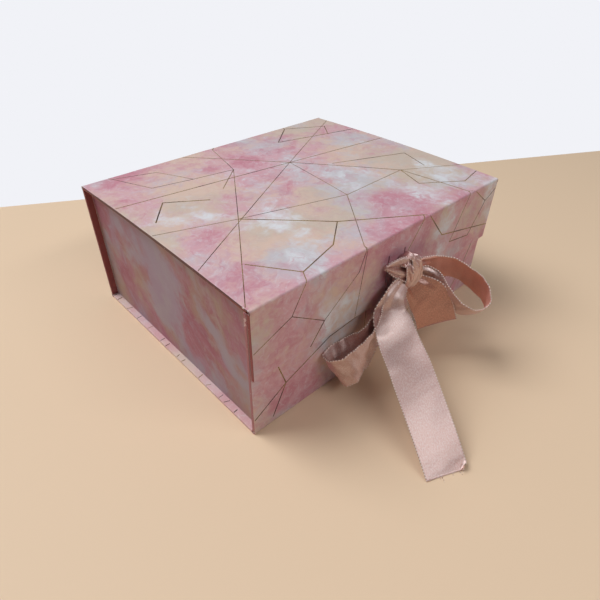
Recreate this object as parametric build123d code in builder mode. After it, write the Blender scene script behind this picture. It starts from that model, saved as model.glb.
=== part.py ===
from build123d import *
import os
from math import sqrt

os.makedirs("parts", exist_ok=True)

# A foldable gift box with a hinged lid, a magnetic front flap and a satin bow.
# Millimetres. X runs along the front, Y runs from the front to the spine and Z is up.
# The origin is the centre of the base's underside.

# Case
box_width = 220.0
box_depth = 176.5  # front wall's outer face to the spine's outer face
box_height = 91.5  # underside to the lid's top face at the folds
board = 2.2  # greyboard with its printed paper glued on
wrap_round = 0.45  # the paper rounds every wrapped edge of a board
lid_crown = 1.5  # the lid is bowed up by this much midway between its folds
flap_drop = 46.0  # how far the flap hangs below the lid's top face
closing_gap = 0.3  # running gap between the lid or flap and the walls they close on

# Folds, where the paper alone bridges two boards
fold_gap = 2.5  # a fold's outer corner to the board's edge
fold_paper = 0.45  # printed paper and lining paper together
fold_round = 1.2

# Lining sheets inside, set back from the board's edges
lining = 0.3
lining_margin = 4.0
glue_line = 0.02  # under the lid's lining, which is bowed with the lid

# End walls
end_inset = 4.4  # the end walls stand this far in from the ends of the base
tab_reach = 17.0  # how far a glue tab runs along the front wall or the spine
tab_thickness = 0.8
tab_end_gap = 7.0  # clear of the base and of the wall's top edge
tab_taper = 6.0
fold_line_depth = 0.5  # scored line down the middle of each end wall
fold_line_width = 1.6

# Closing magnets in the flap and steel catch discs in the front wall
magnet_radius = 5.0
magnet_thickness = 1.5
catch_radius = 6.0
catch_thickness = 0.6
magnet_inset = 39.0  # from the flap's ends to the magnets' centres
magnet_lift = 12.0  # above the flap's lower edge
pocket_gap = 0.1

# Ribbon
ribbon_width = 25.0
ribbon_thickness = 0.6
slot_spread = 15.0  # centre to centre of the two slots that the ribbon is threaded through
slot_clearance = 0.3
table_gap = 0.15  # under the end of the long tail
knot_lift = 19.5  # of the knot's centre above the flap's lower edge
knot_width = 11.0
knot_depth = 12.0
knot_rise = 19.0
knot_round = 5.0
knot_stand_off = 6.5  # from the flap's outer face to the knot's centre
knot_tilt = 14.0  # degrees that the knot's outer turn leans over the inner one
pleats = 3  # across the ribbon where it is gathered into the knot
fold_share = 0.38  # half a fold's foot, of the folds' pitch
shallowest = 0.995  # the folds run out where the ribbon has this share of its width
drawn_width = 25.0  # the bow's stations are drawn for a ribbon of this width
drawn_height = 65.0  # and for a knot this far above the table

# Places that follow from the sizes above
front_face = -box_depth / 2  # outer face of the front wall
back_face = box_depth / 2
flap_inner = front_face - closing_gap - lining
flap_face = flap_inner - board
lid_under = box_height - board
wall_top = lid_under - lining - closing_gap
flap_bottom = box_height - flap_drop
end_face = box_width / 2 - end_inset
magnet_spread = box_width - 2 * magnet_inset
knot_height = flap_bottom + knot_lift
knot_center = Vector(0, flap_face - knot_stand_off, knot_height)


# Base: one wrapped board between the two bottom folds
base_length = box_depth - 2 * fold_gap
with BuildPart() as base_panel:
    with BuildSketch() as outline:
        Rectangle(box_width, base_length)
    extrude(amount=board)
    fillet(base_panel.edges().filter_by(Axis.Y), wrap_round)

# Spine: the back wall, between the bottom fold and the lid's hinge fold
with BuildPart() as back_panel:
    with BuildSketch(Plane.XZ.offset(-back_face)) as outline:
        with Locations((0, box_height / 2)):
            Rectangle(box_width, box_height - 2 * fold_gap)
    extrude(amount=board)
    fillet(back_panel.edges().filter_by(Axis.Z), wrap_round)

# Front wall: as wide as the base, with a pocket behind each steel catch disc
magnet_height = flap_bottom + magnet_lift
with BuildPart() as front_panel:
    with BuildSketch(Plane.XZ.offset(-front_face)) as outline:
        with Locations((0, (fold_gap + wall_top) / 2)):
            Rectangle(box_width, wall_top - fold_gap)
    extrude(amount=-board)
    top_edges = front_panel.faces().sort_by(Axis.Z)[-1].edges().filter_by(Axis.X)
    fillet(front_panel.edges().filter_by(Axis.Z) + top_edges, wrap_round)
    with BuildSketch(Plane.XZ.offset(-front_face - board)) as pockets:
        with Locations((0, magnet_height)):
            with GridLocations(magnet_spread, 0, 2, 1):
                Circle(catch_radius + pocket_gap)
    extrude(amount=catch_thickness, mode=Mode.SUBTRACT)

catch_discs = []
for side in (-1, 1):
    with BuildPart() as catch_disc:
        with BuildSketch(Plane.XZ.offset(-front_face - board)) as outline:
            with Locations((side * magnet_spread / 2, magnet_height)):
                Circle(catch_radius)
        extrude(amount=catch_thickness)
    catch_discs.append(catch_disc)


def fold_strip(corner_y, corner_z, toward_y, toward_z):
    """Paper bent round a fold: an angle whose outer corner is rounded.

    The corner is at corner_y, corner_z and its two legs run inwards, one along Y and one
    along Z, as far as the boards' edges.
    """
    with BuildPart() as strip:
        with BuildSketch(Plane.YZ) as profile:
            with BuildLine() as outer:
                leg_end = (corner_y + toward_y * fold_gap, corner_z)
                corner = (corner_y, corner_z)
                rise_end = (corner_y, corner_z + toward_z * fold_gap)
                FilletPolyline(leg_end, corner, rise_end, radius=fold_round)
                inner_leg = (leg_end[0], corner_z + toward_z * fold_paper)
                inner_corner = (corner_y + toward_y * fold_paper, corner_z + toward_z * fold_paper)
                inner_rise = (corner_y + toward_y * fold_paper, rise_end[1])
                FilletPolyline(inner_leg, inner_corner, inner_rise, radius=fold_round - fold_paper)
                Line(leg_end, inner_leg)
                Line(rise_end, inner_rise)
            make_face()
        extrude(amount=box_width / 2, both=True)
    return strip


base_front_fold = fold_strip(front_face, 0, 1, 1)
base_back_fold = fold_strip(back_face, 0, -1, 1)
lid_fold = fold_strip(back_face, box_height, -1, -1)
flap_fold = fold_strip(flap_face, box_height, 1, -1)

# Lid: a board bowed up in the middle, between the hinge fold and the flap's fold
lid_front = flap_face + fold_gap
lid_back = back_face - fold_gap
lid_middle = (lid_front + lid_back) / 2


def bowed_sheet(front, back, top, thickness, width):
    """A sheet bowed like the lid, between two Y places."""
    half_span = (lid_back - lid_front) / 2

    def crown(y):
        return lid_crown * (1 - ((y - lid_middle) / half_span) ** 2)

    def bowed_line(level):
        places = [(y, level + crown(y)) for y in (front, (front + back) / 2, back)]
        ThreePointArc(*places)
        return places[0], places[-1]

    with BuildPart() as sheet:
        with BuildSketch(Plane.YZ.offset(-width / 2)):
            with BuildLine():
                top_ends = bowed_line(top)
                under_ends = bowed_line(top - thickness)
                for upper, lower in zip(top_ends, under_ends):
                    Line(upper, lower)
            make_face()
        extrude(amount=width)
    return sheet.part


with BuildPart() as lid_panel:
    add(bowed_sheet(lid_front, lid_back, box_height, board, box_width))
    bowed_edges = lid_panel.edges().filter_by(GeomType.CIRCLE)
    fillet(bowed_edges, wrap_round)

with BuildPart() as lid_lining:
    lining_front = lid_front + lining_margin
    lining_back = lid_back - lining_margin
    add(bowed_sheet(lining_front, lining_back, lid_under - glue_line, lining, 2 * end_face))

# Flap: hangs from the lid's front fold, with magnet pockets and two ribbon slots
slot_height = ribbon_width + 2 * slot_clearance
slot_width = ribbon_thickness + 2 * slot_clearance
channel_depth = ribbon_thickness + slot_clearance
flap_top = box_height - fold_gap
with BuildPart() as lid_flap:
    with BuildSketch(Plane.XZ.offset(-flap_face)) as outline:
        with Locations((0, (flap_top + flap_bottom) / 2)):
            Rectangle(box_width, flap_top - flap_bottom)
    extrude(amount=-board)
    low_edges = lid_flap.faces().sort_by(Axis.Z)[0].edges().filter_by(Axis.X)
    fillet(lid_flap.edges().filter_by(Axis.Z) + low_edges, wrap_round)
    with BuildSketch(Plane.XZ.offset(-flap_inner)) as pockets:
        with Locations((0, magnet_height)):
            with GridLocations(magnet_spread, 0, 2, 1):
                Circle(magnet_radius + pocket_gap)
    extrude(amount=magnet_thickness, mode=Mode.SUBTRACT)
    with BuildSketch(Plane.XZ.offset(-flap_inner)) as channel:
        with Locations((0, knot_height)):
            Rectangle(slot_spread + slot_width, slot_height)
    extrude(amount=channel_depth, mode=Mode.SUBTRACT)
    with BuildSketch(Plane.XZ.offset(-flap_inner)) as slots:
        with Locations((0, knot_height)):
            with GridLocations(slot_spread, 0, 2, 1):
                Rectangle(slot_width, slot_height)
    extrude(amount=board, mode=Mode.SUBTRACT)

with BuildPart() as flap_lining:
    with BuildSketch(Plane.XZ.offset(-flap_inner)) as outline:
        with Locations((0, (flap_top + flap_bottom) / 2)):
            Rectangle(box_width - 2 * lining_margin, flap_top - flap_bottom - 2 * lining_margin)
    extrude(amount=-lining)

magnets = []
for side in (-1, 1):
    with BuildPart() as magnet:
        with BuildSketch(Plane.XZ.offset(-flap_inner)) as outline:
            with Locations((side * magnet_spread / 2, magnet_height)):
                Circle(magnet_radius)
        extrude(amount=magnet_thickness)
    magnets.append(magnet)

# Lining sheets of the tray
with BuildPart() as front_lining:
    with BuildSketch(Plane.XZ.offset(-front_face - board)) as outline:
        with Locations((0, (board + wall_top - lining_margin) / 2)):
            Rectangle(2 * end_face, wall_top - lining_margin - board)
    extrude(amount=-lining)

with BuildPart() as back_lining:
    with BuildSketch(Plane.XZ.offset(-back_face + board)) as outline:
        with Locations((0, (board + wall_top - lining_margin) / 2)):
            Rectangle(2 * end_face, wall_top - lining_margin - board)
    extrude(amount=lining)

end_length = box_depth - 2 * board - 2 * lining
with BuildPart() as base_lining:
    with BuildSketch(Plane.XY.offset(board)) as outline:
        Rectangle(2 * (end_face - board), end_length)
    extrude(amount=lining)

# Left end wall: stands on the base, with a glue tab folded in at the front and at the back
with BuildPart() as left_end_wall:
    with BuildSketch(Plane.YZ.offset(-end_face)) as outline:
        with Locations((0, (board + wall_top) / 2)):
            Rectangle(end_length, wall_top - board)
    extrude(amount=board)
    top_edges = left_end_wall.faces().sort_by(Axis.Z)[-1].edges().filter_by(Axis.Y)
    fillet(top_edges, wrap_round)
    with BuildSketch(Plane.XZ.offset(end_length / 2)) as tab:
        with BuildLine() as tab_outline:
            root = -end_face + board
            tip = root + tab_reach
            low = board + tab_end_gap
            high = wall_top - tab_end_gap
            Polyline(
                (root, low), (tip, low + tab_taper), (tip, high - tab_taper), (root, high), (root, low)
            )
        make_face()
    front_tab = extrude(amount=-tab_thickness)
    mirror(front_tab, about=Plane.XZ)
    with BuildSketch(Plane.YZ.offset(-end_face + board)) as score:
        with Locations((0, (board + wall_top) / 2)):
            Rectangle(fold_line_width, wall_top - board)
    extrude(amount=-fold_line_depth, mode=Mode.SUBTRACT)

with BuildPart() as right_end_wall:
    mirror(left_end_wall.part, about=Plane.YZ)


# Bow. A station is a place of the ribbon's middle line, measured from the middle of the
# flap's face at the knot's height, then the direction across the ribbon, then its width.
def gather_depth(width):
    """How high the folds stand that take up what the ribbon's width has lost."""
    drawn_in = min(width, shallowest * ribbon_width)
    return sqrt(ribbon_width**2 - drawn_in**2) / (4 * pleats)


def band(stations, ends, folds=pleats):
    """Ribbon lofted through its stations, each section square to the middle line.

    It is lofted in stretches that meet at the stations named by ends. The first stretch
    leaves the knot gathered, so folds that taper away stand on its outer face.
    """
    planes = []
    points = []
    for place, across, width in stations:
        x, y, z = place
        points.append(Vector(x * spread, flap_face + y * spread, knot_height + z * settle))
    for index, (place, across, width) in enumerate(stations):
        along = points[min(index + 1, len(points) - 1)] - points[max(index - 1, 0)]
        planes.append(Plane(points[index], x_dir=Vector(*across), z_dir=along))

    with BuildPart() as strip:
        for start, end in zip(ends, ends[1:]):
            stretch = range(start, end + 1)
            for index in stretch:
                with BuildSketch(planes[index]):
                    Rectangle(stations[index][2], ribbon_thickness)
            loft(ruled=True)
            if start > 0:
                continue
            for fold in range(folds):
                for index in stretch:
                    width = stations[index][2]
                    pitch = width / pleats
                    middle = (fold + 0.5) * pitch - width / 2
                    left = (middle - fold_share * pitch, 0)
                    right = (middle + fold_share * pitch, 0)
                    crest = (middle, ribbon_thickness / 2 + gather_depth(width))
                    with BuildSketch(planes[index]):
                        Polygon(left, right, crest, align=None)
                loft(ruled=True)
    return strip.part


gathered = 0.4 * ribbon_width
half_open = 0.78 * ribbon_width
spread = ribbon_width / drawn_width
settle = knot_height / drawn_height
table = (ribbon_thickness / 2 + table_gap - knot_height) / settle

left_loop = [
    ((-3, -5, -3), (-0.57, -0.12, 0.81), gathered),
    ((-7, -4, -12), (-0.56, -0.13, 0.82), half_open),
    ((-14, -4, -20), (-0.55, -0.13, 0.82), ribbon_width),
    ((-22, -6, -27), (-0.53, -0.10, 0.84), ribbon_width),
    ((-31, -9, -34), (-0.51, -0.02, 0.86), ribbon_width),
    ((-41, -8, -39), (-0.48, 0.07, 0.87), ribbon_width),
    ((-51, -4, -43), (-0.46, 0.12, 0.88), ribbon_width),
    ((-56, -5, -44), (-0.45, 0.13, 0.88), ribbon_width),
    ((-57, -9, -43), (-0.45, 0.12, 0.88), ribbon_width),
    ((-53, -15, -39), (-0.46, 0.08, 0.88), ribbon_width),
    ((-42, -15, -34), (-0.46, 0.01, 0.89), ribbon_width),
    ((-30, -12, -28), (-0.47, -0.05, 0.88), ribbon_width),
    ((-20, -9, -22), (-0.47, -0.08, 0.88), ribbon_width),
    ((-11, -7, -14), (-0.47, -0.09, 0.88), half_open),
    ((-3, -8, -4), (-0.48, -0.10, 0.87), gathered),
]
right_loop = [
    ((2, -5, 1), (-0.13, -0.31, 0.94), gathered),
    ((13, -5, -2), (-0.16, -0.34, 0.93), half_open),
    ((23, -9, -4), (-0.20, -0.37, 0.91), ribbon_width),
    ((33, -16, -5), (-0.25, -0.40, 0.88), ribbon_width),
    ((39, -24, -8), (-0.30, -0.41, 0.86), ribbon_width),
    ((42, -34, -13), (-0.34, -0.40, 0.85), ribbon_width),
    ((41, -42, -17), (-0.36, -0.39, 0.84), ribbon_width),
    ((38, -46, -21), (-0.37, -0.40, 0.84), ribbon_width),
    ((30, -42, -25), (-0.35, -0.41, 0.84), ribbon_width),
    ((24, -33, -23), (-0.31, -0.43, 0.85), ribbon_width),
    ((21, -23, -18), (-0.25, -0.44, 0.86), ribbon_width),
    ((18, -14, -12), (-0.19, -0.44, 0.88), ribbon_width),
    ((11, -9, -6), (-0.15, -0.43, 0.89), half_open),
    ((2, -10, -2), (-0.12, -0.42, 0.90), gathered),
]
long_tail = [
    ((-3, -10, -3), (0.91, -0.33, -0.21), gathered),
    ((-13, -12, -7), (0.91, -0.36, -0.17), 0.62 * ribbon_width),
    ((-18, -14, -14), (0.90, -0.40, -0.13), 0.92 * ribbon_width),
    ((-22, -22, -23), (0.88, -0.45, -0.09), ribbon_width),
    ((-30, -40, -34), (0.86, -0.49, -0.06), ribbon_width),
    ((-39, -59, -46), (0.86, -0.50, -0.04), ribbon_width),
    ((-47, -77, -58), (0.87, -0.49, -0.02), ribbon_width),
    ((-51, -86, table), (0.88, -0.47, -0.01), ribbon_width),
]
short_tail = [
    ((1, -10, -3), (0.96, -0.10, 0.25), gathered),
    ((4, -16, -7), (0.95, -0.09, 0.29), half_open),
    ((7, -24, -16), (0.94, -0.10, 0.32), ribbon_width),
    ((11, -32, -28), (0.95, -0.10, 0.30), ribbon_width),
    ((13, -34, -35), (0.96, -0.10, 0.28), ribbon_width),
]

with BuildPart() as ribbon_bow:
    # the stretch behind the flap, glued in its channel
    with BuildSketch(Plane.XZ.offset(-flap_inner)) as back_band:
        with Locations((0, knot_height)):
            Rectangle(slot_spread + ribbon_thickness, ribbon_width)
    extrude(amount=ribbon_thickness)
    # the two stretches through the slots
    with BuildSketch(Plane.XZ.offset(-flap_inner)) as legs:
        with Locations((0, knot_height)):
            with GridLocations(slot_spread, 0, 2, 1):
                Rectangle(ribbon_thickness, ribbon_width)
    extrude(amount=board)
    # gathered from the slots into the knot
    for side in (-1, 1):
        with BuildSketch(Plane.XZ.offset(-flap_face)):
            with Locations((side * slot_spread / 2, knot_height)):
                Rectangle(ribbon_thickness, ribbon_width)
        with BuildSketch(Plane.XZ.offset(-flap_face + knot_stand_off)):
            with Locations((side * knot_width / 4, knot_height)):
                Rectangle(ribbon_thickness, gathered)
        loft(ruled=True)
    # the knot: a turn wrapped round the gathered ribbon, under a narrower one that leans over it
    for lean, width, grown in ((0, knot_width, 0), (knot_tilt, 0.6 * knot_width, 1)):
        wrap = Plane(knot_center, x_dir=(0, 1, 0), z_dir=(1, 0, 0)).rotated((0, lean, 0))
        with BuildSketch(wrap):
            RectangleRounded(knot_depth + grown, knot_rise + grown, knot_round)
        extrude(amount=width / 2, both=True)
    add(band(left_loop, (0, 2, 7, 12, 14)))
    add(band(right_loop, (0, 2, 7, 11, 13)))
    add(band(long_tail, (0, 3, 7)))
    add(band(short_tail, (0, 2, 4), folds=0))

nodes = {
    "base_panel": base_panel,
    "back_panel": back_panel,
    "front_panel": front_panel,
    "left_end_wall": left_end_wall,
    "right_end_wall": right_end_wall,
    "base_front_fold": base_front_fold,
    "base_back_fold": base_back_fold,
    "lid_fold": lid_fold,
    "front_lining": front_lining,
    "back_lining": back_lining,
    "base_lining": base_lining,
    "catch_disc_left": catch_discs[0],
    "catch_disc_right": catch_discs[1],
    "lid_panel": lid_panel,
    "lid_lining": lid_lining,
    "flap_fold": flap_fold,
    "lid_flap": lid_flap,
    "flap_lining": flap_lining,
    "magnet_left": magnets[0],
    "magnet_right": magnets[1],
    "ribbon_bow": ribbon_bow,
}
for name, node in nodes.items():
    node.part.label = name
    export_step(node.part, f"parts/{name}.step")
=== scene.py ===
"""Looks of a foldable gift box: printed paper with foil lines, a magnetic flap and a satin bow.

Metres, in the part's own frame: X runs along the front, Y from the front to the spine, Z up.
"""
import math

import bpy
import numpy as np
from mathutils import Matrix, Vector


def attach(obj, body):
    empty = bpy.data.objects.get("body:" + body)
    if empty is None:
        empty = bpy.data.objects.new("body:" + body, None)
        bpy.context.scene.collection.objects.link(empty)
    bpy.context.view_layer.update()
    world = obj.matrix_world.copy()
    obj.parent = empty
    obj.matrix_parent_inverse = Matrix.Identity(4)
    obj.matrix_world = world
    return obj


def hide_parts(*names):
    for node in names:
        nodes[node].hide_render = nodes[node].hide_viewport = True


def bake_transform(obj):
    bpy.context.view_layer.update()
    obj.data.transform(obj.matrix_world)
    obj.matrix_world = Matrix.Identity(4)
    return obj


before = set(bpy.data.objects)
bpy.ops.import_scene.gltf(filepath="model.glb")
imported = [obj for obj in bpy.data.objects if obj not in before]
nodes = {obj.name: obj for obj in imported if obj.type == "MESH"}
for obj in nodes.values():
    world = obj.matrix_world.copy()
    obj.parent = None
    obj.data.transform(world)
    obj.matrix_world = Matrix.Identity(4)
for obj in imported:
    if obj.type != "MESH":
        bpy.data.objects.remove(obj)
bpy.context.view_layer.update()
scene = bpy.context.scene
scene.view_settings.view_transform = "Standard"
chance = np.random.default_rng(11)

# Sizes of the box, as its solids have them
half_width = 0.110
front_y = -0.08825  # front wall's outer face
back_y = 0.08825  # spine's outer face
flap_y = -0.09105  # flap's outer face
top_z = 0.0915
fold_gap = 0.0025  # between two boards, either side of a fold's corner
fold_round = 0.0012  # radius of a fold's outside
fold_paper = 0.00045
lid_crown = 0.0015
knot_z = 0.065
ribbon_wide = 0.025
ribbon_thick = 0.00034
bead_pitch = 0.0016  # of the woven edge
bead_step = 0.00024
rib_pitch = 0.00042  # of the satin's crosswise ribs
quarter = math.pi / 2  # of a turn

# Camera: placed by matching the box's corners in the photograph
photo_size = 600
focal_px = 484.77
camera_place = Vector((-0.2093, -0.2294, 0.2293))
camera_azimuth = math.radians(-43.3677)
camera_elevation = math.radians(37.6725)
camera_roll = math.radians(0.7322)


def photo_camera():
    """The photograph's camera: it looks down at the box's front left corner."""
    a, e, roll = camera_azimuth, camera_elevation, camera_roll
    back = Vector((math.sin(a) * math.cos(e), -math.cos(a) * math.cos(e), math.sin(e)))
    level = Vector((math.cos(a), math.sin(a), 0))
    rise = back.cross(level)
    right = math.cos(roll) * level + math.sin(roll) * rise
    up = math.cos(roll) * rise - math.sin(roll) * level
    turned = Matrix((right, up, back)).transposed()
    data = bpy.data.cameras.new("photo_camera")
    data.sensor_width = 36
    data.lens = data.sensor_width * focal_px / photo_size
    data.clip_start = 0.01
    camera = bpy.data.objects.new("photo_camera", data)
    camera.matrix_world = Matrix.Translation(camera_place) @ turned.to_4x4()
    scene.collection.objects.link(camera)
    scene.camera = camera
    return turned


camera_turn = photo_camera()


def ground_at(across, down):
    """The place on the table that the photograph shows at a pixel."""
    half = photo_size / 2
    ray = camera_turn @ Vector(((across - half) / focal_px, (half - down) / focal_px, -1))
    return camera_place + ray * (-camera_place.z / ray.z)


# Shader helpers
def linear(red, green, blue):
    """A colour given as it looks on screen, 0 to 255, in the renderer's linear values."""
    screen = np.array((red, green, blue)) / 255
    low = screen / 12.92
    high = ((screen + 0.055) / 1.055) ** 2.4
    return (*np.where(screen <= 0.04045, low, high).tolist(), 1.0)


class Shader:
    """A node material, with short calls that add nodes and join them up."""

    def __init__(self, name):
        self.material = bpy.data.materials.new(name)
        self.material.use_nodes = True
        self.tree = self.material.node_tree
        self.surface = self.tree.nodes["Principled BSDF"]

    def add(self, kind, **inputs):
        """A node, with its inputs set to numbers or colours or linked from other sockets."""
        made = self.tree.nodes.new("ShaderNode" + kind)
        for name, value in inputs.items():
            self.put(made, name.replace("_", " "), value)
        return made

    def put(self, made, name, value):
        """Sets a node's input to a number or colour, or links it from another socket."""
        socket = made.inputs[name]
        if isinstance(value, bpy.types.NodeSocket):
            self.tree.links.new(value, socket)
        else:
            socket.default_value = value

    def math(self, operation, *values):
        """One sum on numbers or sockets."""
        made = self.tree.nodes.new("ShaderNodeMath")
        made.operation = operation
        for index, value in enumerate(values):
            self.put(made, index, value)
        return made.outputs[0]

    def vector(self, operation, *values, **named):
        """The same on vectors."""
        made = self.tree.nodes.new("ShaderNodeVectorMath")
        made.operation = operation
        for index, value in enumerate(values):
            self.put(made, index, value)
        for name, value in named.items():
            self.put(made, name, value)
        return made.outputs[0]

    def noise(self, where, scale, detail=3.0, rough=0.5, seed=0.0, distort=0.0):
        """Soft noise, 0 to 1, in features of about 1 / scale metres."""
        made = self.tree.nodes.new("ShaderNodeTexNoise")
        made.noise_dimensions = "4D"
        settings = {"Vector": where, "W": seed, "Scale": scale, "Detail": detail,
                    "Roughness": rough, "Distortion": distort}
        for name, value in settings.items():
            self.put(made, name, value)
        return made.outputs["Fac"]

    def step(self, value, low, high):
        """A soft step from 0 at low to 1 at high."""
        made = self.tree.nodes.new("ShaderNodeMapRange")
        made.interpolation_type = "SMOOTHSTEP"
        for name, setting in (("Value", value), ("From Min", low), ("From Max", high)):
            self.put(made, name, setting)
        return made.outputs[0]

    def mix(self, share, first, second, blend="MIX"):
        """The first colour where share is 0, and the second where it is 1."""
        made = self.tree.nodes.new("ShaderNodeMix")
        made.data_type = "RGBA"
        made.blend_type = blend
        # its colour sockets: 6 and 7 in, and 2 out
        self.put(made, 0, share)
        self.put(made, 6, first)
        self.put(made, 7, second)
        return made.outputs[2]

    def bump(self, height, distance, below=None):
        """A bump of that height in metres, laid over another bump."""
        made = self.add("Bump", Distance=distance, Height=height, Strength=1.0)
        if below is not None:
            self.put(made, "Normal", below)
        return made.outputs[0]

    def finish(self, **inputs):
        """The material, with the surface's own inputs set or linked."""
        for name, value in inputs.items():
            self.put(self.surface, name.replace("_", " "), value)
        return self.material


# Printed paper
paper_peach = linear(224, 197, 182)
paper_beige = linear(209, 193, 179)
paper_pink = linear(218, 170, 182)
paper_rose = linear(200, 124, 143)
paper_grey = linear(203, 203, 211)
paper_white = linear(230, 234, 240)
light_pink = linear(236, 212, 206)
# deep rose painted on the turned-in edges as painted shade
painted_shade_turn_in = linear(138, 60, 58)


def printed_paper(name, axes="XY", shift=(0, 0), streaks_and_shade=False, uv=False, inner=False,
                  ends=None, pale=0.0):
    """Watercolour clouds of pink, peach and grey-white on matt coated paper.

    The clouds lie on a flat sheet. axes names the two of the object's coordinates that run
    over the sheet, and shift moves them, so that the print runs on over a fold. A bent strip
    has the sheet's own UVs instead. streaks draws the clouds out into slanting strokes of a
    brush and darkens the print all over as painted shade. ends is a darker colour painted on
    the board's ends as painted shade, inner paints the turned-in edge a deep rose as painted
    shade, and pale is how far the colours fade into light pink.
    """
    s = Shader(name)
    source = s.add("TexCoord")
    place = source.outputs["Object"]
    spot = s.add("SeparateXYZ", Vector=place).outputs
    if uv:
        parts = s.add("SeparateXYZ", Vector=source.outputs["UV"]).outputs
        across, along = parts[0], parts[1]
    else:
        across = s.math("ADD", spot["XYZ".index(axes[0])], shift[0])
        along = s.math("ADD", spot["XYZ".index(axes[1])], shift[1])
    flat = s.add("CombineXYZ", X=across, Y=along, Z=0.0).outputs[0]
    if streaks_and_shade:
        slanted = s.add("Mapping", Vector=flat, Rotation=(0, 0, math.radians(35)))
        brushed = s.vector("MULTIPLY", slanted.outputs[0], (0.95, 0.62, 1.0))
    else:
        brushed = flat
    # the clouds' outlines wander
    drift = s.add("TexNoise", Vector=brushed, Scale=24.0, Detail=4.0, Roughness=0.6)
    bent = s.vector("SUBTRACT", drift.outputs["Color"], (0.5, 0.5, 0.5))
    bent = s.vector("SCALE", bent, Scale=0.035)
    bent = s.vector("ADD", brushed, bent)
    dabs = s.noise(brushed, 150.0, 5.0, 0.62, seed=4.0, distort=0.8)
    dabs = s.math("SUBTRACT", dabs, 0.5)

    def cloud(scale, seed, low, high, lean=0.0):
        """A field of colour: 1 inside, 0 outside, its edge broken up by dabs of the brush."""
        field = s.noise(bent, scale, 2.5, 0.55, seed=seed)
        field = s.math("ADD", field, s.math("MULTIPLY", dabs, 0.34))
        field = s.math("ADD", field, lean)
        return s.step(field, low, high)

    # pinker towards the flap and the spine, and peach in between
    edge = s.math("ABSOLUTE", s.math("ADD", along, 0.002))
    pinker = s.math("MULTIPLY", s.step(edge, 0.030, 0.088), 0.10)
    paler = s.math("MULTIPLY", pinker, -0.4)
    colour = s.mix(cloud(15.0, 1.7, 0.40, 0.62), paper_peach, paper_beige)
    pink = cloud(19.0, 8.3, 0.42, 0.68, pinker)
    colour = s.mix(pink, colour, paper_pink)
    grey = s.math("MULTIPLY", cloud(22.0, 5.1, 0.44, 0.68, paler), 0.9)
    colour = s.mix(grey, colour, paper_grey)
    rose = s.math("ADD", s.math("MULTIPLY", pink, 0.62), 0.06)
    rose = s.math("MULTIPLY", cloud(34.0, 2.9, 0.50, 0.72, pinker), rose)
    colour = s.mix(rose, colour, paper_rose)
    colour = s.mix(cloud(24.0, 6.6, 0.55, 0.76), colour, paper_white)
    # strokes of a nearly dry brush leave white between them
    dry = s.noise(bent, 210.0, 5.0, 0.68, seed=9.0, distort=1.6)
    white = s.math("ADD", s.math("MULTIPLY", pink, 0.30), 0.14)
    white = s.math("MULTIPLY", s.step(dry, 0.46, 0.72), white)
    colour = s.mix(white, colour, paper_white)
    # and small dabs of a wetter one stand darker inside the clouds
    wet = s.noise(bent, 120.0, 4.0, 0.62, seed=14.0, distort=1.0)
    darker = s.math("ADD", s.math("MULTIPLY", pink, 0.36), 0.12)
    wet = s.math("MULTIPLY", s.step(wet, 0.50, 0.66), darker)
    colour = s.mix(wet, colour, paper_rose)
    if pale:
        colour = s.mix(pale, colour, light_pink)
    if streaks_and_shade:
        # painted shade: the end walls' print is darkened all over, then streaked with olive and mauve
        colour = s.mix(1.0, colour, linear(194, 164, 180), blend="MULTIPLY")
        dull = cloud(22.0, 21.0, 0.42, 0.60)
        colour = s.mix(s.math("MULTIPLY", dull, 0.66), colour, linear(168, 148, 126))
        mauve = cloud(26.0, 33.0, 0.44, 0.60)
        colour = s.mix(s.math("MULTIPLY", mauve, 0.66), colour, linear(158, 152, 174))

    # rubbed pale in specks along the boards' ends, and most at the corners of the folds
    from_end = s.math("SUBTRACT", half_width, s.math("ABSOLUTE", spot[0]))
    from_fold = s.math("SUBTRACT", s.math("ABSOLUTE", along), back_y)
    corner = s.math("SUBTRACT", 1.0, s.step(s.math("ABSOLUTE", from_fold), 0.001, 0.005))
    rub = s.noise(place, 520.0, 4.0, 0.7, seed=2.0)
    rub = s.math("ADD", rub, s.math("MULTIPLY", corner, 0.16))
    reach = s.math("MULTIPLY", s.step(rub, 0.60, 0.74), 0.0009)
    rubbed = s.step(s.math("SUBTRACT", reach, from_end), 0.0, 0.0004)
    colour = s.mix(s.math("MULTIPLY", rubbed, 0.8), colour, linear(240, 232, 226))
    if ends:
        # painted shade: the boards' ends are painted a darker colour, less where they are rubbed pale
        end_shade = s.math("SUBTRACT", 1.0, s.step(from_end, 0.00015, 0.0003))
        unworn = s.math("SUBTRACT", 0.95, s.math("MULTIPLY", rubbed, 0.5))
        end_shade = s.math("MULTIPLY", end_shade, unworn)
        colour = s.mix(end_shade, colour, ends)
    if inner:
        # painted shade: the turned-in edge of the spine and the lid is painted a plain deep rose, as
        # the print looks in deep shadow
        inside = s.step(s.math("SUBTRACT", back_y, spot[1]), 0.0006, 0.0009)
        below = s.step(s.math("SUBTRACT", top_z, spot[2]), 0.0006, 0.0009)
        turned = s.math("MULTIPLY", inside, below)
        colour = s.mix(s.math("MULTIPLY", turned, 0.94), colour, painted_shade_turn_in)

    grain = s.noise(place, 3200.0, 2.0, 0.6, seed=1.0)
    waves = s.noise(place, 45.0, 2.0, 0.5, seed=7.0)
    normal = s.bump(waves, 0.00022)
    normal = s.bump(grain, 0.000012, normal)
    rough = s.noise(place, 70.0, 3.0, 0.6, seed=12.0)
    rough = s.math("ADD", s.math("MULTIPLY", rough, 0.14), 0.42)
    return s.finish(Base_Color=colour, Roughness=rough, Normal=normal, Specular_IOR_Level=0.42)


# darker colour of the lid's and the folds' board ends, painted shade
painted_shade_end = linear(88, 40, 42)
lid_paper = printed_paper("lid_print", inner=True, ends=painted_shade_end)
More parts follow.
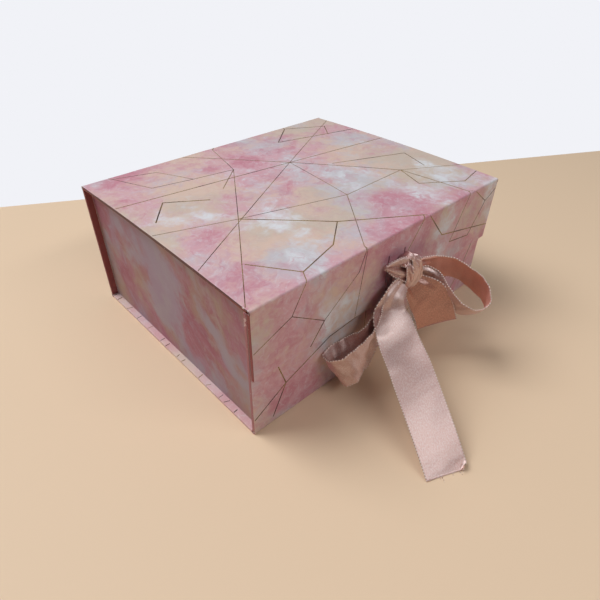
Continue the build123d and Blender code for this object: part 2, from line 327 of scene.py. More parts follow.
# the flap's and the front wall's ends get their own darker colours, painted shade
# a point of the flap lies on the sheet at its height less the drop to the fold
flap_paper = printed_paper("flap_print", "XZ", shift=(0, flap_y - top_z),
                           ends=linear(132, 40, 46))
wall_paper = printed_paper("front_print", "XZ", shift=(0, -0.1712),
                           ends=linear(164, 100, 108))
spine_paper = printed_paper("spine_print", "XZ", shift=(0.4, 0.1), inner=True)
end_paper = printed_paper("end_print", "YZ", shift=(0.31, 0.52), streaks_and_shade=True)
base_paper = printed_paper("base_print", shift=(0.02, 0.45), pale=0.38)
strip_paper = printed_paper("fold_print", uv=True, ends=painted_shade_end)


# Other materials
def lining_paper():
    """Plain off-white lining paper with long fibres and a faint mottle."""
    s = Shader("lining_sheet")
    place = s.add("TexCoord").outputs["Object"]
    mottle = s.noise(place, 60.0, 4.0, 0.6)
    fibre = s.noise(s.vector("MULTIPLY", place, (1.0, 0.2, 1.0)), 1800.0, 3.0, 0.6, seed=3.0)
    colour = s.mix(mottle, linear(236, 226, 220), linear(246, 240, 234))
    colour = s.mix(s.math("MULTIPLY", s.step(fibre, 0.55, 0.8), 0.25), colour, linear(214, 200, 192))
    normal = s.bump(fibre, 0.00002, s.bump(mottle, 0.00015))
    return s.finish(Base_Color=colour, Roughness=0.8, Normal=normal)


def bright_metal(name, first, second, rough):
    """Plated or plain sheet metal with fine scratches and slightly stained patches."""
    s = Shader(name)
    place = s.add("TexCoord").outputs["Object"]
    stain = s.noise(place, 320.0, 4.0, 0.6)
    scratch = s.noise(s.vector("MULTIPLY", place, (0.08, 1.0, 1.0)), 5200.0, 2.0, 0.6, seed=5.0)
    colour = s.mix(stain, first, second)
    spread = s.math("ADD", s.math("MULTIPLY", scratch, 0.16), rough)
    return s.finish(Base_Color=colour, Roughness=spread, Metallic=1.0,
                    Normal=s.bump(scratch, 0.000006))


def foil():
    """Gold foil: metal that is redder or paler from place to place, as rolled foil is."""
    s = Shader("gold_foil")
    place = s.add("TexCoord").outputs["UV"]
    tone = s.noise(place, 34.0, 3.0, 0.6)
    worn = s.noise(place, 900.0, 3.0, 0.7, seed=4.0)
    colour = s.mix(s.step(tone, 0.44, 0.62), linear(172, 142, 92), linear(84, 60, 50))
    colour = s.mix(s.math("MULTIPLY", s.step(worn, 0.6, 0.75), 0.5), colour, linear(214, 190, 160))
    rough = s.math("ADD", s.math("MULTIPLY", worn, 0.2), 0.18)
    return s.finish(Base_Color=colour, Roughness=rough, Metallic=0.45)


def satin(name, face, deep, pale, gloss=1.0):
    """Satin ribbon: fine crosswise ribs, long floating threads and a soft sheen.

    UV runs in metres, U across the ribbon and V along it. gloss is lower for a dull reverse.
    """
    s = Shader(name)
    flat = s.add("TexCoord").outputs["UV"]
    parts = s.add("SeparateXYZ", Vector=flat).outputs
    threads = s.noise(s.vector("MULTIPLY", flat, (1.0, 0.06, 1.0)), 5200.0, 2.0, 0.6)
    slub = s.noise(s.vector("MULTIPLY", flat, (1.0, 0.6, 1.0)), 1500.0, 4.0, 0.85, seed=2.0)
    shade = s.noise(flat, 45.0, 3.0, 0.55, seed=6.0)
    ribs = s.math("SINE", s.math("MULTIPLY", parts[1], 2 * math.pi / rib_pitch))
    colour = s.mix(s.math("MULTIPLY", s.step(shade, 0.35, 0.68), 0.5), face, deep)
    colour = s.mix(s.math("MULTIPLY", s.step(threads, 0.42, 0.75), 0.4), colour, pale)
    colour = s.mix(s.math("MULTIPLY", s.step(slub, 0.47, 0.58), 0.85), colour, pale)
    colour = s.mix(s.math("MULTIPLY", s.step(slub, 0.46, 0.38), 0.65), colour, deep)
    # the outermost warp threads catch less light, next to the woven edge
    rim = s.step(s.math("ABSOLUTE", parts[0]), 0.0118, 0.0123)
    colour = s.mix(s.math("MULTIPLY", rim, 0.35), colour, deep)
    normal = s.bump(threads, 0.00003)
    normal = s.bump(ribs, 0.000006, normal)
    normal = s.bump(slub, 0.00013, normal)
    rough = s.math("ADD", s.math("MULTIPLY", slub, 0.20), 0.28)
    # the floating threads lie along the ribbon, so a highlight spreads across it
    across = s.add("Tangent")
    across.direction_type = "UV_MAP"
    across.uv_map = "UVMap"
    return s.finish(Base_Color=colour, Roughness=rough, Normal=normal, Metallic=0.22,
                    Anisotropic=0.92, Tangent=across.outputs[0], IOR=3.1,
                    Specular_IOR_Level=gloss, Sheen_Weight=0.1, Sheen_Roughness=0.4,
                    Sheen_Tint=linear(250, 225, 215))


def edge_thread():
    """The woven edge: plump threads round the last warp, a painted highlight on each bead and painted
    shade between them.
    """
    s = Shader("woven_edge")
    flat = s.add("TexCoord").outputs["UV"]
    along = s.add("SeparateXYZ", Vector=flat).outputs[1]
    turn = s.math("SINE", s.math("MULTIPLY", along, 2 * math.pi / bead_pitch))
    twist = s.noise(flat, 2600.0, 2.0, 0.6)
    # painted highlight on each bead, painted shade in the gaps between beads
    colour = s.mix(s.step(turn, -0.1, 0.4), linear(146, 98, 86), linear(252, 242, 236))
    colour = s.mix(s.math("MULTIPLY", twist, 0.3), colour, linear(214, 168, 152))
    return s.finish(Base_Color=colour, Roughness=0.5, Normal=s.bump(twist, 0.00003),
                    Sheen_Weight=0.2, Sheen_Roughness=0.5)


ribbon_face = satin("ribbon_satin", linear(206, 122, 96), linear(172, 78, 56), linear(230, 200, 196))
# the right loop's inside: the reverse painted brighter and more orange, painted light passing through
# and bouncing inside the loop
loop_reverse_painted_light = satin("loop_reverse_painted_light", linear(228, 104, 56), linear(186, 70, 34), linear(238, 144, 98))
# the short tail's reverse painted darker, painted shade of the right loop above it
tail_reverse_painted_shade = satin("tail_reverse_painted_shade", linear(180, 92, 62), linear(138, 62, 40), linear(208, 134, 104),
                     gloss=0.5)
ribbon_cut = edge_thread()
foil_gold = foil()
lining_sheet = lining_paper()
steel = bright_metal("catch_plate", linear(168, 170, 172), linear(120, 120, 122), 0.3)
nickel = bright_metal("magnet_nickel", linear(205, 205, 200), linear(172, 170, 164), 0.16)

dressed = {
    "lid_panel": lid_paper, "lid_flap": flap_paper, "front_panel": wall_paper,
    "back_panel": spine_paper, "base_panel": base_paper, "left_end_wall": end_paper,
    "right_end_wall": end_paper, "base_front_fold": wall_paper, "base_back_fold": spine_paper,
    "lid_lining": lining_sheet, "flap_lining": lining_sheet, "base_lining": lining_sheet,
    "front_lining": lining_sheet, "back_lining": lining_sheet,
    "catch_disc_left": steel, "catch_disc_right": steel,
    "magnet_left": nickel, "magnet_right": nickel,
}
for node_name, finish in dressed.items():
    mesh = nodes[node_name].data
    mesh.materials.clear()
    mesh.materials.append(finish)


# Mesh helpers
def mesh_object(name, points, faces, uvs, finishes, face_finish=None, smooth=True):
    """An object with one UV pair for each point, and a material for each of its finishes."""
    mesh = bpy.data.meshes.new(name)
    mesh.from_pydata(np.asarray(points).tolist(), [], [list(face) for face in faces])
    for finish in finishes:
        mesh.materials.append(finish)
    if face_finish is not None:
        mesh.polygons.foreach_set("material_index", np.asarray(face_finish, dtype=np.int32))
    layer = mesh.uv_layers.new(name="UVMap")
    corners = np.empty(len(mesh.loops), dtype=np.int32)
    mesh.loops.foreach_get("vertex_index", corners)
    layer.data.foreach_set("uv", np.asarray(uvs, dtype=np.float32)[corners].ravel())
    mesh.polygons.foreach_set("use_smooth", np.full(len(mesh.polygons), smooth))
    mesh.update()
    made = bpy.data.objects.new(name, mesh)
    scene.collection.objects.link(made)
    return made


def grid_faces(rows, columns, start=0, around=False):
    """Quads between neighbouring rows of a grid, closed round its columns where around."""
    last = columns if around else columns - 1
    row, column = np.meshgrid(np.arange(rows - 1), np.arange(last), indexing="ij")
    beside = (column + 1) % columns
    corners = (row * columns + column, row * columns + beside,
               (row + 1) * columns + beside, (row + 1) * columns + column)
    return np.stack([c.ravel() for c in corners], 1) + start


def length_along(line):
    """The distance along a line of points, from its first point to each."""
    steps = np.linalg.norm(np.diff(line, axis=0), axis=1)
    return np.concatenate(([0.0], np.cumsum(steps)))


def unit(rows):
    """Vectors divided by their length."""
    return rows / np.maximum(np.linalg.norm(rows, axis=-1, keepdims=True), 1e-12)


def read_between(rows, distances, at):
    """Rows of values known at some distances, read at others on straight lines between."""
    return np.stack([np.interp(at, distances, values) for values in rows.T], 1)


# Paper folds at the lid's and the flap's hinges
def sheet_place(u, v):
    """Where a point of the flat printed sheet lies on the closed box, and its outward normal.

    U runs along the front. V is Y on the lid, and goes on over the folds, down the flap in
    front and down the spine at the back. The lid follows its crown, a parabola, and each fold
    is a quarter circle.
    """
    u, v = np.broadcast_arrays(np.asarray(u, float), np.asarray(v, float))
    lid_front, lid_back = flap_y + fold_gap, back_y - fold_gap
    middle, half = (lid_front + lid_back) / 2, (lid_back - lid_front) / 2
    t = np.clip((v - middle) / half, -1, 1)
    y, z = v.copy(), top_z + lid_crown * (1 - t**2)
    ny, nz = 2 * lid_crown * t / half, np.ones_like(v)
    for corner, side in ((flap_y, -1), (back_y, 1)):
        past = side * (v - corner) + fold_round
        turn = np.clip(past / (2 * fold_round), 0, 1) * quarter
        bent = past > 0
        y = np.where(bent, corner - side * fold_round * (1 - np.sin(turn)), y)
        drop = np.maximum(past - 2 * fold_round, 0)
        z = np.where(bent, top_z - fold_round * (1 - np.cos(turn)) - drop, z)
        ny = np.where(bent, side * np.sin(turn), ny)
        nz = np.where(bent, np.cos(turn), nz)
    normal = unit(np.stack([np.zeros_like(y), ny, nz], -1))
    return np.stack([u, y, z], -1), normal


def fold_strip(name, corner, side, replaced):
    """The printed paper of a hinge, and its lining, as one closed bent strip."""
    v = corner + side * np.linspace(-fold_gap, fold_gap, 29)
    u = np.linspace(-half_width, half_width, 45)
    grid_v, grid_u = np.meshgrid(v, u, indexing="ij")
    outer, normal = sheet_place(grid_u, grid_v)
    # the fold isn't quite straight: the paper creeps in and out along it
    creep = np.sin(grid_u * 190 + 1.3) * np.sin(grid_u * 67) * 0.00006
    fullness = np.cos((grid_v - corner) / fold_gap * quarter) ** 2
    outer = outer + normal * (creep * fullness)[..., None]
    inner = outer - normal * fold_paper
    ring = np.concatenate([outer, inner[::-1]], 0)
    rows = len(ring)
    points = ring.reshape(-1, 3)
    flat = np.stack([grid_u, grid_v], -1)
    uvs = np.concatenate([flat, flat[::-1]], 0).reshape(-1, 2)
    columns = len(u)
    faces = [grid_faces(rows, columns)]
    near = np.arange(columns - 1)
    low, high = near, (rows - 1) * columns + near
    faces.append(np.stack([high, high + 1, low + 1, low], 1))
    for column in (0, columns - 1):
        edge = np.arange(len(v) - 1)
        outer_edge = edge * columns + column
        inner_edge = (rows - 1 - edge) * columns + column
        faces.append(np.stack([outer_edge, outer_edge + columns,
                               inner_edge - columns, inner_edge], 1))
    made = mesh_object(name, points, np.concatenate(faces), uvs, [strip_paper])
    start, _ = sheet_place(0, corner - side * fold_gap)
    end, _ = sheet_place(0, corner + side * fold_gap)
    if side > 0:
        start, end = end, start
    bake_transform(made)
    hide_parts(replaced)
    return made


fold_strip("lid_hinge_paper", back_y, 1, "lid_fold")
fold_strip("flap_hinge_paper", flap_y, -1, "flap_fold")

# Foil lines. Each row is a line's corners on the flat sheet, in millimetres: U, then V.
foil_rows = [
    [(-109, -49), (18, 24), (109, 76)],
    [(-32, 86), (18, 24), (68, -38), (76, -88), (60, -122)],
    [(-109, 40), (18, 24), (109, 13)],
    [(18, 24), (10, -40), (-28, -88), (-34, -137)],
    [(-109, -87), (-62, -20), (-20, 41), (-8, 84)],
    [(-62, -20), (-20, -60), (26, -88), (48, -112), (109, -126)],
    [(-109, -4), (-62, -20), (10, -40), (68, -38), (109, -60)],
    [(-90, 84), (-78, 52), (-50, 46), (-62, 74), (-90, 84)],
    [(109, 44), (84, 50), (40, 62), (66, 84)],
    [(84, 50), (96, 66), (66, 84)],
    [(-50, 46), (-20, 41), (-44, 20)],
    [(109, -74), (88, -78), (60, -60), (68, -38)],
    [(-88, -60), (-70, -84), (-40, -76), (-20, -60)],
    [(-70, -84), (-84, -108), (-109, -118)],
    [(-84, -108), (-60, -124), (-34, -104), (-28, -88)],
    [(-60, -124), (-70, -137)],
    [(26, -88), (10, -110), (22, -137)],
    [(76, -88), (98, -104), (109, -98)],
    [(98, -104), (84, -126), (60, -122)],
    [(40, 2), (96, -20), (88, -44)],
    [(-100, 8), (-84, 28), (-60, 12)],
]
spine_rows = [
    [(-32, 86), (-44, 100), (-60, 128), (-66, 172)],
    [(-8, 84), (10, 104), (80, 130), (109, 124)],
    [(-90, 84), (-100, 104), (-60, 128), (-10, 142), (10, 104)],
    [(-10, 142), (6, 176)],
    [(80, 130), (60, 174)],
    [(66, 84), (72, 100), (80, 130)],
]
front_rows = [
    [(-109, 12), (-86, 26), (-52, 40), (-20, 43)],
    [(-96, 5), (-86, 26), (-92, 44)],
    [(-40, 5), (-20, 24), (-20, 43)],
    [(-20, 24), (22, 14), (48, 30), (109, 18)],
    [(48, 30), (56, 44)],
    [(22, 14), (28, 4)],
    [(80, 4), (92, 22), (100, 44)],
]
foil_half = 0.00029
foil_above = 0.00005
foil_below = 0.00006


def foil_lines(name, rows, place):
    """Thin closed strips of foil along lines of the sheet, in short steps over its curves."""
    points, faces, uvs = [], [], []
    for row in rows:
        corners = np.array(row, float) / 1000
        thin = foil_half * (0.6 + 0.75 * chance.random())
        for start, end in zip(corners, corners[1:]):
            reach = np.linalg.norm(end - start)
            steps = max(2, int(reach / 0.0012))
            along = (end - start) / reach
            side = np.array((-along[1], along[0]))
            # the ends run on a little, so that two lines close their corner
            t = np.linspace(-foil_half * 0.8, reach + foil_half * 0.8, steps + 1)[:, None]
            middle = start + along * t
            first = sum(len(p) for p in points)
            strip, flats = [], []
            for offset, level in ((thin, foil_above), (-thin, foil_above),
                                  (-thin, -foil_below), (thin, -foil_below)):
                flat = middle + side * offset
                spot, normal = place(flat[:, 0], flat[:, 1])
                strip.append(spot + normal * level)
                flats.append(flat)
            points.append(np.stack(strip, 1).reshape(-1, 3))
            uvs.append(np.stack(flats, 1).reshape(-1, 2))
            faces.append(grid_faces(steps + 1, 4, first, around=True))
            last = first + steps * 4
            faces.append(np.array([[first + 3, first + 2, first + 1, first],
                                   [last, last + 1, last + 2, last + 3]]))
    return mesh_object(name, np.concatenate(points), np.concatenate(faces),
                       np.concatenate(uvs), [foil_gold], smooth=False)


def front_place(u, v):
    """On the front wall V is the height."""
    y = np.full_like(u, front_y)
    return np.stack([u, y, v], -1), np.broadcast_to((0.0, -1.0, 0.0), (*u.shape, 3))


def margin_place(u, v):
    """On the base's margin outside an end wall, V is Y."""
    z = np.full_like(u, 0.0022)
    return np.stack([u, v, z], -1), np.broadcast_to((0.0, 0.0, 1.0), (*u.shape, 3))


lid_foil = foil_lines("foil_lid_and_flap", foil_rows, sheet_place)
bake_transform(lid_foil)
spine_foil = foil_lines("foil_spine_and_lid", spine_rows, sheet_place)
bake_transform(spine_foil)
front_foil = foil_lines("foil_front_wall", front_rows, front_place)
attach(front_foil, "box")

tick_rows = []
for side in (-1, 1):
    y = -80.0
    while y < 80:
        y += 6 + 13 * chance.random()
        slant = 2.2 * (chance.random() - 0.3)
        inner = 106.2 + 1.6 * chance.random()
        tick_rows.append([(side * inner, y), (side * 109.6, y + slant)])
base_foil = foil_lines("foil_base_margin", tick_rows, margin_place)
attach(base_foil, "box")


# Bow
def smooth_through(values, samples):
    """A smooth line through rows of values, by cubic pieces with level-headed slopes."""
    values = np.asarray(values, float)
    knots = length_along(values[:, :3])
    slopes = np.gradient(values, knots, axis=0)
    at = np.linspace(0, knots[-1], samples)
    index = np.clip(np.searchsorted(knots, at, side="right") - 1, 0, len(knots) - 2)
    span = (knots[index + 1] - knots[index])[:, None]
    t = (at - knots[index])[:, None] / span
    h00, h10 = 2 * t**3 - 3 * t**2 + 1, t**3 - 2 * t**2 + t
    h01, h11 = -2 * t**3 + 3 * t**2, t**3 - t**2
    return (h00 * values[index] + h10 * span * slopes[index]
            + h01 * values[index + 1] + h11 * span * slopes[index + 1])


def ribbon_surface(stations, step=0.0009, columns=49, pleats=3, phase=0.0, cup=0.0,
                   fullness=1.0, ripple=0.0):
    """Points of the ribbon's middle surface, one row for each place along it.

    A station is a place in millimetres from the flap's face at the knot's height, then the
    direction across the ribbon, then its width. Where the ribbon is drawn in, what its width
    has lost stands up in folds: a zigzag of n folds over width w has depth
    sqrt(W**2 - w**2) / (4 * n), and the folds here are rounded to a sine of that depth, or
    of the share fullness of it where they are pressed flat. cup bows the ribbon across by a
    parabola, and ripple is the depth of its dents.
    """
    rows = np.array([(*place, *across, width) for place, across, width in stations], float)
    rows[:, :3] /= 1000
    rows[:, 6] *= ribbon_wide
    rows[:, 3:6] = unit(rows[:, 3:6])
    samples = max(12, int(length_along(rows[:, :3])[-1] / step))
    line = smooth_through(rows, samples)
    middle = line[:, :3] + np.array((0, flap_y, knot_z))
    width = np.clip(line[:, 6], 0.08 * ribbon_wide, ribbon_wide)
    along = unit(np.gradient(middle, axis=0))
    across = unit(line[:, 3:6] - (line[:, 3:6] * along).sum(1, keepdims=True) * along)
    outward = np.cross(across, along)
    s = length_along(middle)
    a = np.linspace(-0.5, 0.5, columns)
    depth = np.sqrt(np.maximum(ribbon_wide**2 - width**2, 0)) / (4 * pleats)
    # uneven folds that wander a little along the ribbon
    warp = a[None] + 0.045 * np.sin(2 * math.pi * a[None] * 1.3 + phase + 55 * s[:, None])
    wave = np.sin(2 * math.pi * pleats * warp + phase) + 0.25 * np.sin(4 * math.pi * pleats * warp)
    height = fullness * depth[:, None] * wave
    height += cup * (1 - (2 * a[None]) ** 2) * np.minimum(width[:, None] / ribbon_wide * 2, 1)
    height += 0.00012 * np.sin(150 * s[:, None] + 5 * a[None] + phase)
    # soft dents, where a loop has been pressed and opened again
    dents = np.sin(9 * a[None] + 520 * s[:, None] + phase) * np.sin(330 * s[:, None] - 3 * a[None])
    height += ripple * dents
    points = (middle[:, None] + across[:, None] * (a[None] * width[:, None])[..., None]
              + outward[:, None] * height[..., None])
    return points, s, a


def curled_corner(surface, reach, radius):
    """The ribbon's end with its right corner rolled up over a slanting line, as cut satin curls.

    A point at distance p past that line goes to radius * sin(p / radius) along and
    radius * (1 - cos(p / radius)) up.
    """
    points, s, a = surface
    along = unit(np.gradient(points, axis=0))
    across = unit(np.gradient(points, axis=1))
    up = np.cross(along, across)
    from_corner = (s[-1] - s)[:, None] + (0.5 - a)[None] * ribbon_wide
    past = np.maximum(reach - from_corner / math.sqrt(2), 0)
    angle = past / radius
    shift = unit(along + across) * (radius * np.sin(angle) - past)[..., None]
    shift += up * (radius * (1 - np.cos(angle)))[..., None]
    return points + shift, s, a


def ribbon_piece(name, surface, back=None):
    """A closed ribbon: its middle surface thickened both ways, with beaded woven edges.

    back is the finish of its lower side, where that shows the satin's reverse: painted brighter inside
    the right loop as painted light and darker on the short tail as painted shade.
    """
    points, s, a = surface
    rows, columns = points.shape[:2]
    along = np.gradient(points, axis=0)
    across = np.gradient(points, axis=1)
    normal = unit(np.cross(across, along))
    top = points + normal * ribbon_thick / 2
    low = points - normal * ribbon_thick / 2
    uv = np.stack(np.broadcast_arrays(a[None] * ribbon_wide, s[:, None]), -1)
    blocks = [top.reshape(-1, 3), low.reshape(-1, 3)]
    uvs = [uv.reshape(-1, 2), uv.reshape(-1, 2)]
    count = rows * columns
    faces = [grid_faces(rows, columns), grid_faces(rows, columns, count)[:, ::-1]]
    row = np.arange(rows - 1)
    for column, flip in ((0, False), (columns - 1, True)):
        up = row * columns + column
        side = np.stack([up, up + columns, up + columns + count, up + count], 1)
        faces.append(side[:, ::-1] if flip else side)
    column = np.arange(columns - 1)
    for edge, flip in ((0, True), (rows - 1, False)):
        up = edge * columns + column
        side = np.stack([up, up + 1, up + 1 + count, up + count], 1)
        faces.append(side[:, ::-1] if not flip else side)
    kinds = [np.zeros(sum(len(f) for f in faces), int)]
    if back:
        kinds[0][len(faces[0]):len(faces[0]) + len(faces[1])] = 2
    # beads: the edge thread swells once for every turn of the weft
    start = 2 * count
    for column, sense in ((0, -1), (columns - 1, 1)):
        dense = np.arange(0, s[-1], bead_step)
        edge = read_between(points[:, column], s, dense)
        out = unit(read_between(across[:, column], s, dense)) * sense
        up = read_between(normal[:, column], s, dense)
        swell = 0.00012 + 0.00036 * np.clip(np.sin(2 * math.pi * dense / bead_pitch), 0, 1)
        ring = []
        for angle in np.linspace(0, 2 * math.pi, 6, endpoint=False):
            shift = out * math.cos(angle) * sense + up * math.sin(angle)
            ring.append(edge + shift * swell[:, None])
        block = np.stack(ring, 1)
        blocks.append(block.reshape(-1, 3))
        ring_uv = np.stack(np.broadcast_arrays(np.linspace(0, 0.001, 6)[None], dense[:, None]), -1)
        uvs.append(ring_uv.reshape(-1, 2))
        tube = grid_faces(len(dense), 6, start, around=True)
        tip = start + (len(dense) - 1) * 6
        caps = np.array([[start + 3, start + 2, start + 1, start],
                         [start + 5, start + 4, start + 3, start],
                         [tip, tip + 1, tip + 2, tip + 3], [tip, tip + 3, tip + 4, tip + 5]])
        faces += [tube, caps]
        kinds.append(np.ones(len(tube) + len(caps), int))
        start += len(dense) * 6
    made = mesh_object(name, np.concatenate(blocks), np.concatenate(faces), np.concatenate(uvs),
                       [ribbon_face, ribbon_cut, *([back] if back else [])], np.concatenate(kinds))
    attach(made, "flap")
    return made


# Stations of the bow's stretches. These two are widths as shares of the ribbon's own.
gathered = 0.4
half_open = 0.78
table = 0.75 - 1000 * knot_z  # where the tail's end lies on the table

left_loop = [
    ((-3, -5, -3), (-0.65, -0.27, 0.71), gathered),
    ((-7, -4, -12), (-0.62, -0.31, 0.72), half_open),
    ((-14, -4, -20), (-0.59, -0.33, 0.74), 1),
    ((-22, -6, -27), (-0.57, -0.19, 0.80), 1),
    ((-31, -9, -34), (-0.52, 0.17, 0.84), 1),
    ((-41, -8, -39), (-0.30, 0.56, 0.77), 1),
    ((-51, -4, -43), (-0.29, 0.48, 0.83), 1),
    ((-56, -5, -44), (-0.35, 0.38, 0.86), 1),
    ((-57, -9, -43), (-0.38, 0.32, 0.87), 1),
    ((-53, -15, -39), (-0.45, 0.21, 0.87), 1),
    ((-42, -15, -34), (-0.42, -0.08, 0.91), 1),
    ((-30, -12, -28), (-0.38, -0.33, 0.86), 1),
    ((-20, -9, -22), (-0.40, -0.30, 0.86), 1),
    ((-11, -7, -14), (-0.45, -0.15, 0.87), half_open),
    ((-3, -8, -4), (-0.48, -0.20, 0.85), gathered),
]
right_loop = [
    ((2, -5, 1), (-0.01, -0.16, 0.99), gathered),
    ((13, -5, -2), (-0.09, -0.30, 0.95), half_open),
    ((23, -9, -4), (-0.17, -0.40, 0.90), 1),
    ((33, -16, -5), (-0.27, -0.44, 0.85), 1),
    ((39, -24, -8), (-0.42, -0.46, 0.78), 1),
    ((42, -34, -13), (-0.44, -0.41, 0.80), 1),
    ((41, -42, -17), (-0.54, -0.32, 0.78), 1),
    ((38, -46, -21), (-0.61, -0.33, 0.72), 1),
    ((30, -42, -25), (-0.56, -0.43, 0.71), 1),
    ((24, -33, -23), (-0.44, -0.49, 0.75), 1),
    ((21, -23, -18), (-0.24, -0.52, 0.82), 1),
    ((18, -14, -12), (0.02, -0.49, 0.87), 1),
    ((11, -9, -6), (0.26, -0.38, 0.89), half_open),
    ((2, -10, -2), (0.42, -0.28, 0.87), gathered),
]
long_tail = [
    ((-3, -10, -3), (0.90, -0.15, -0.40), gathered),
    ((-13, -12, -7), (0.93, -0.22, -0.30), 0.62),
    ((-18, -14, -14), (0.92, -0.33, -0.20), 0.92),
    ((-22, -22, -23), (0.86, -0.52, -0.04), 1),
    ((-30, -40, -33.2), (0.78, -0.62, 0.03), 1),
    ((-39, -59, -44.6), (0.81, -0.58, 0.01), 1),
    ((-47, -77, -57.2), (0.87, -0.49, 0.00), 1),
    ((-51, -86, table), (0.90, -0.44, 0.00), 1),
]
short_tail = [
    ((1, -10, -3), (0.90, -0.38, 0.20), gathered),
    ((4, -15, -7.5), (0.85, -0.48, 0.20), 0.72),
    ((8.6, -20.2, -14.3), (0.80, -0.56, 0.17), 1),
    ((11.6, -25, -23.9), (0.78, -0.61, 0.08), 1),
    ((13.4, -28, -33.6), (0.76, -0.65, 0.00), 1),
]

on_flap = ["lid_flap", "ribbon_knot_inner"]
on_table = ["ribbon_knot_inner", "floor"]
# name, stations, pleats, phase, cup, fullness, ripple, reverse, how it is held, what it rests on
bow_rows = (
    ("ribbon_left_loop", left_loop, 3, 0.4, 0.0, 0.8, 0.00045, None, "folded", on_flap),
    ("ribbon_right_loop", right_loop, 3, 2.1, 0.0, 0.9, 0.00022, loop_reverse_painted_light, "folded", on_flap),
    ("ribbon_long_tail", long_tail, 2, 1.0, 0.0007, 0.16, 0.00004, None, "hung", on_table),
    ("ribbon_short_tail", short_tail, 2, 3.0, 0.0006, 0.3, 0.0001, tail_reverse_painted_shade, "hung", on_flap),
)
for name, stations, pleats, phase, cup, fullness, ripple, back, held, under in bow_rows:
    surface = ribbon_surface(stations, pleats=pleats, phase=phase, cup=cup,
                             fullness=fullness, ripple=ripple)
    if name == "ribbon_long_tail":
        surface = curled_corner(surface, reach=0.0040, radius=0.0013)
        tail_surface = surface
    piece = ribbon_piece(name, surface, back=back)
    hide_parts("ribbon_bow")


def knot_turn(name, centre, depth, rise, width, tilt, pleats, fold, phase, squeeze):
    """One turn of the knot: the drawn-in ribbon wrapped round in a flat loop.

    The loop is a superellipse with exponent 2.6 in the plane across the front, and the folds
    run along the turn. Creases pinch it in where the ribbon changes direction.
    """
    rows, columns = 150, 61
    turn = np.linspace(0, 2 * math.pi, rows)
    a = np.linspace(-0.5, 0.5, columns)
    power = 2 / 2.6
    y = np.sign(np.cos(turn)) * np.abs(np.cos(turn)) ** power * depth / 2
    z = np.sign(np.sin(turn)) * np.abs(np.sin(turn)) ** power * rise / 2
    out_y, out_z = np.cos(turn), np.sin(turn)
    warp = a[None] + 0.06 * np.sin(3 * turn[:, None] + phase) * np.cos(2.4 * a[None])
    height = fold * np.sin(2 * math.pi * pleats * warp + phase)
    height += 0.0005 * np.sin(5 * turn[:, None] + 7 * a[None] + phase)
    height -= 0.0011 * (2 * np.abs(a[None])) ** 3
    narrow = width * (1 - squeeze * (0.5 + 0.5 * np.cos(2 * turn + 0.7 + phase)))
    x = a[None] * narrow[:, None] + 0.0009 * np.sin(2 * turn[:, None] + phase)
    py = y[:, None] + out_y[:, None] * height
    pz = z[:, None] + out_z[:, None] * height
    lean = math.radians(tilt)
    px = x * math.cos(lean) + pz * math.sin(lean)
    pz = -x * math.sin(lean) + pz * math.cos(lean)
    points = np.stack([px + centre[0], py + centre[1], pz + centre[2]], -1)
    around = length_along(points[:, columns // 2])
    piece = ribbon_piece(name, (points, around, a))
    return piece, around[-1]


knot_y = flap_y - 0.0068
inner_turn = knot_turn("ribbon_knot_inner", (0.0015, knot_y, knot_z), depth=0.0100,
                       rise=0.0165, width=0.0095, tilt=4, pleats=4, fold=0.0011, phase=0.4,
                       squeeze=0.10)
outer_turn = knot_turn("ribbon_knot_outer", (0.0036, knot_y - 0.0006, knot_z + 0.0022),
                       depth=0.0132, rise=0.0205, width=0.0072, tilt=6, pleats=3, fold=0.0009,
                       phase=1.9, squeeze=0.15)

# the ribbon's edge pulled out over the knot: it stands up as an ear at the left
ear = [
    ((-14.5, -3.5, 9.0), (0.15, 0.10, 0.98), 0.10),
    ((-11.5, -4.8, 8.6), (0.12, 0.25, 0.95), 0.26),
    ((-7.5, -6.5, 7.4), (0.10, 0.34, 0.93), 0.44),
    ((-3.0, -8.3, 6.0), (0.10, 0.34, 0.93), 0.56),
    ((1.0, -10.0, 4.6), (0.10, 0.25, 0.95), 0.62),
    ((4.5, -11.5, 3.0), (0.10, 0.10, 0.97), 0.52),
]
ear_surface = ribbon_surface(ear, step=0.0004, pleats=2, phase=0.8, cup=0.0012, fullness=0.5)
ear_piece = ribbon_piece("ribbon_knot_ear", ear_surface)


def frayed_threads(name, surface, count, longest, radius):
    """Loose threads past the ribbon's cut end: thin round tubes, most of them near its corner."""
    ends, before = surface[0][-1], surface[0][-5]
    points, faces, uvs, sides, steps = [], [], [], 5, 12
    angles = np.linspace(0, 2 * math.pi, sides, endpoint=False)
    for index in range(count):
        column = int((len(ends) - 1) * (1 - chance.random() ** 1.7))
        onward = unit(ends[column] - before[column])
        drift = chance.normal(0, 0.5, 3)
        reach = longest * (0.3 + 0.7 * chance.random())
        t = np.linspace(-0.15, 1, steps)[:, None] * reach
        line = ends[column] + onward * t + drift * t * np.abs(t) / reach
        line[:, 2] = np.maximum(line[:, 2], 2 * radius)
        along = unit(np.gradient(line, axis=0))
        side = unit(np.cross(along, (0.3, 0.2, 1.0)))
        rise = np.cross(side, along)
        ring = [line + (side * math.cos(turn) + rise * math.sin(turn)) * radius for turn in angles]
        points.append(np.stack(ring, 1).reshape(-1, 3))
        flat = np.broadcast_arrays(angles[None] * radius, length_along(line)[:, None])
        uvs.append(np.stack(flat, -1).reshape(-1, 2))
        first = index * steps * sides
        last = first + (steps - 1) * sides
        faces += grid_faces(steps, sides, first, around=True).tolist()
        faces += [list(range(first + sides - 1, first - 1, -1)), list(range(last, last + sides))]
    made = mesh_object(name, np.concatenate(points), faces, np.concatenate(uvs), [ribbon_cut])
    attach(made, "flap")
    return made


frayed_threads("ribbon_end_threads", tail_surface, count=9, longest=0.0042, radius=0.00009)

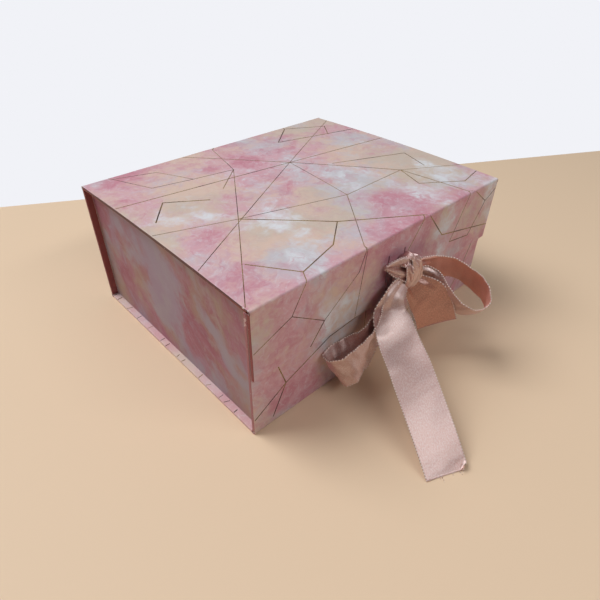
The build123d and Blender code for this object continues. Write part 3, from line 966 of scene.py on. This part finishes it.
# Stage: a plain pale table whose far edge lies where the photograph's does
table_side = 1.6  # how far the table runs on past either side of the photograph
table_deep = 2.6  # from its far edge to its near one
far_left, far_right = ground_at(-40, 211), ground_at(640, 147)
across_table = (far_right - far_left).normalized()
towards = Vector((across_table.y, -across_table.x, 0))
table_corners = [far_left - across_table * table_side, far_right + across_table * table_side]
table_corners += [c + towards * table_deep for c in reversed(table_corners)]
mesh = bpy.data.meshes.new("floor")
mesh.from_pydata([tuple(c) for c in table_corners], [], [(0, 3, 2, 1)])
floor = bpy.data.objects.new("floor", mesh)
scene.collection.objects.link(floor)
table_top = Shader("pale_table")
table_top.finish(Base_Color=linear(238, 212, 182), Roughness=0.62, Specular_IOR_Level=0.3)
mesh.materials.append(table_top.material)

# Light: a bright wall that the camera sees, behind a dim room that is lighter at the back
world = bpy.data.worlds.new("soft_room")
scene.world = world
world.use_nodes = True
tree = world.node_tree
toward = tree.nodes.new("ShaderNodeSeparateXYZ")
tree.links.new(tree.nodes.new("ShaderNodeTexCoord").outputs["Generated"], toward.inputs[0])
lighter = tree.nodes.new("ShaderNodeMapRange")
lighter.interpolation_type = "SMOOTHSTEP"
for name, value in (("From Min", -0.3), ("From Max", 0.8), ("To Min", 0.10), ("To Max", 0.30)):
    lighter.inputs[name].default_value = value
tree.links.new(toward.outputs["Y"], lighter.inputs["Value"])
room = tree.nodes["Background"]
room.inputs["Color"].default_value = (0.92, 0.95, 1.0, 1)
tree.links.new(lighter.outputs["Result"], room.inputs["Strength"])
wall = tree.nodes.new("ShaderNodeBackground")
wall.inputs["Color"].default_value = linear(241, 242, 247)
wall.inputs["Strength"].default_value = 1.0
path = tree.nodes.new("ShaderNodeLightPath")
either = tree.nodes.new("ShaderNodeMixShader")
tree.links.new(path.outputs["Is Camera Ray"], either.inputs[0])
tree.links.new(room.outputs[0], either.inputs[1])
tree.links.new(wall.outputs[0], either.inputs[2])
tree.links.new(either.outputs[0], tree.nodes["World Output"].inputs["Surface"])


def soft_lamp(name, place, aim, size, power, colour):
    """A window: size is its width and its height in metres."""
    data = bpy.data.lights.new(name, "AREA")
    data.shape = "RECTANGLE"
    data.size, data.size_y = size
    data.energy = power
    data.color = colour
    lamp = bpy.data.objects.new(name, data)
    lamp.location = place
    lamp.rotation_euler = (Vector(aim) - Vector(place)).to_track_quat("-Z", "Y").to_euler()
    scene.collection.objects.link(lamp)


soft_lamp("back_window", (-0.72, 0.9, 1.85), (0, 0, 0.05), (1.25, 1.25), 32, (1.0, 0.99, 0.985))
soft_lamp("overhead_front", (0.12, -1.05, 1.1), (0, -0.1, 0.03), (1.1, 0.22), 5.4, (1.0, 0.965, 0.945))
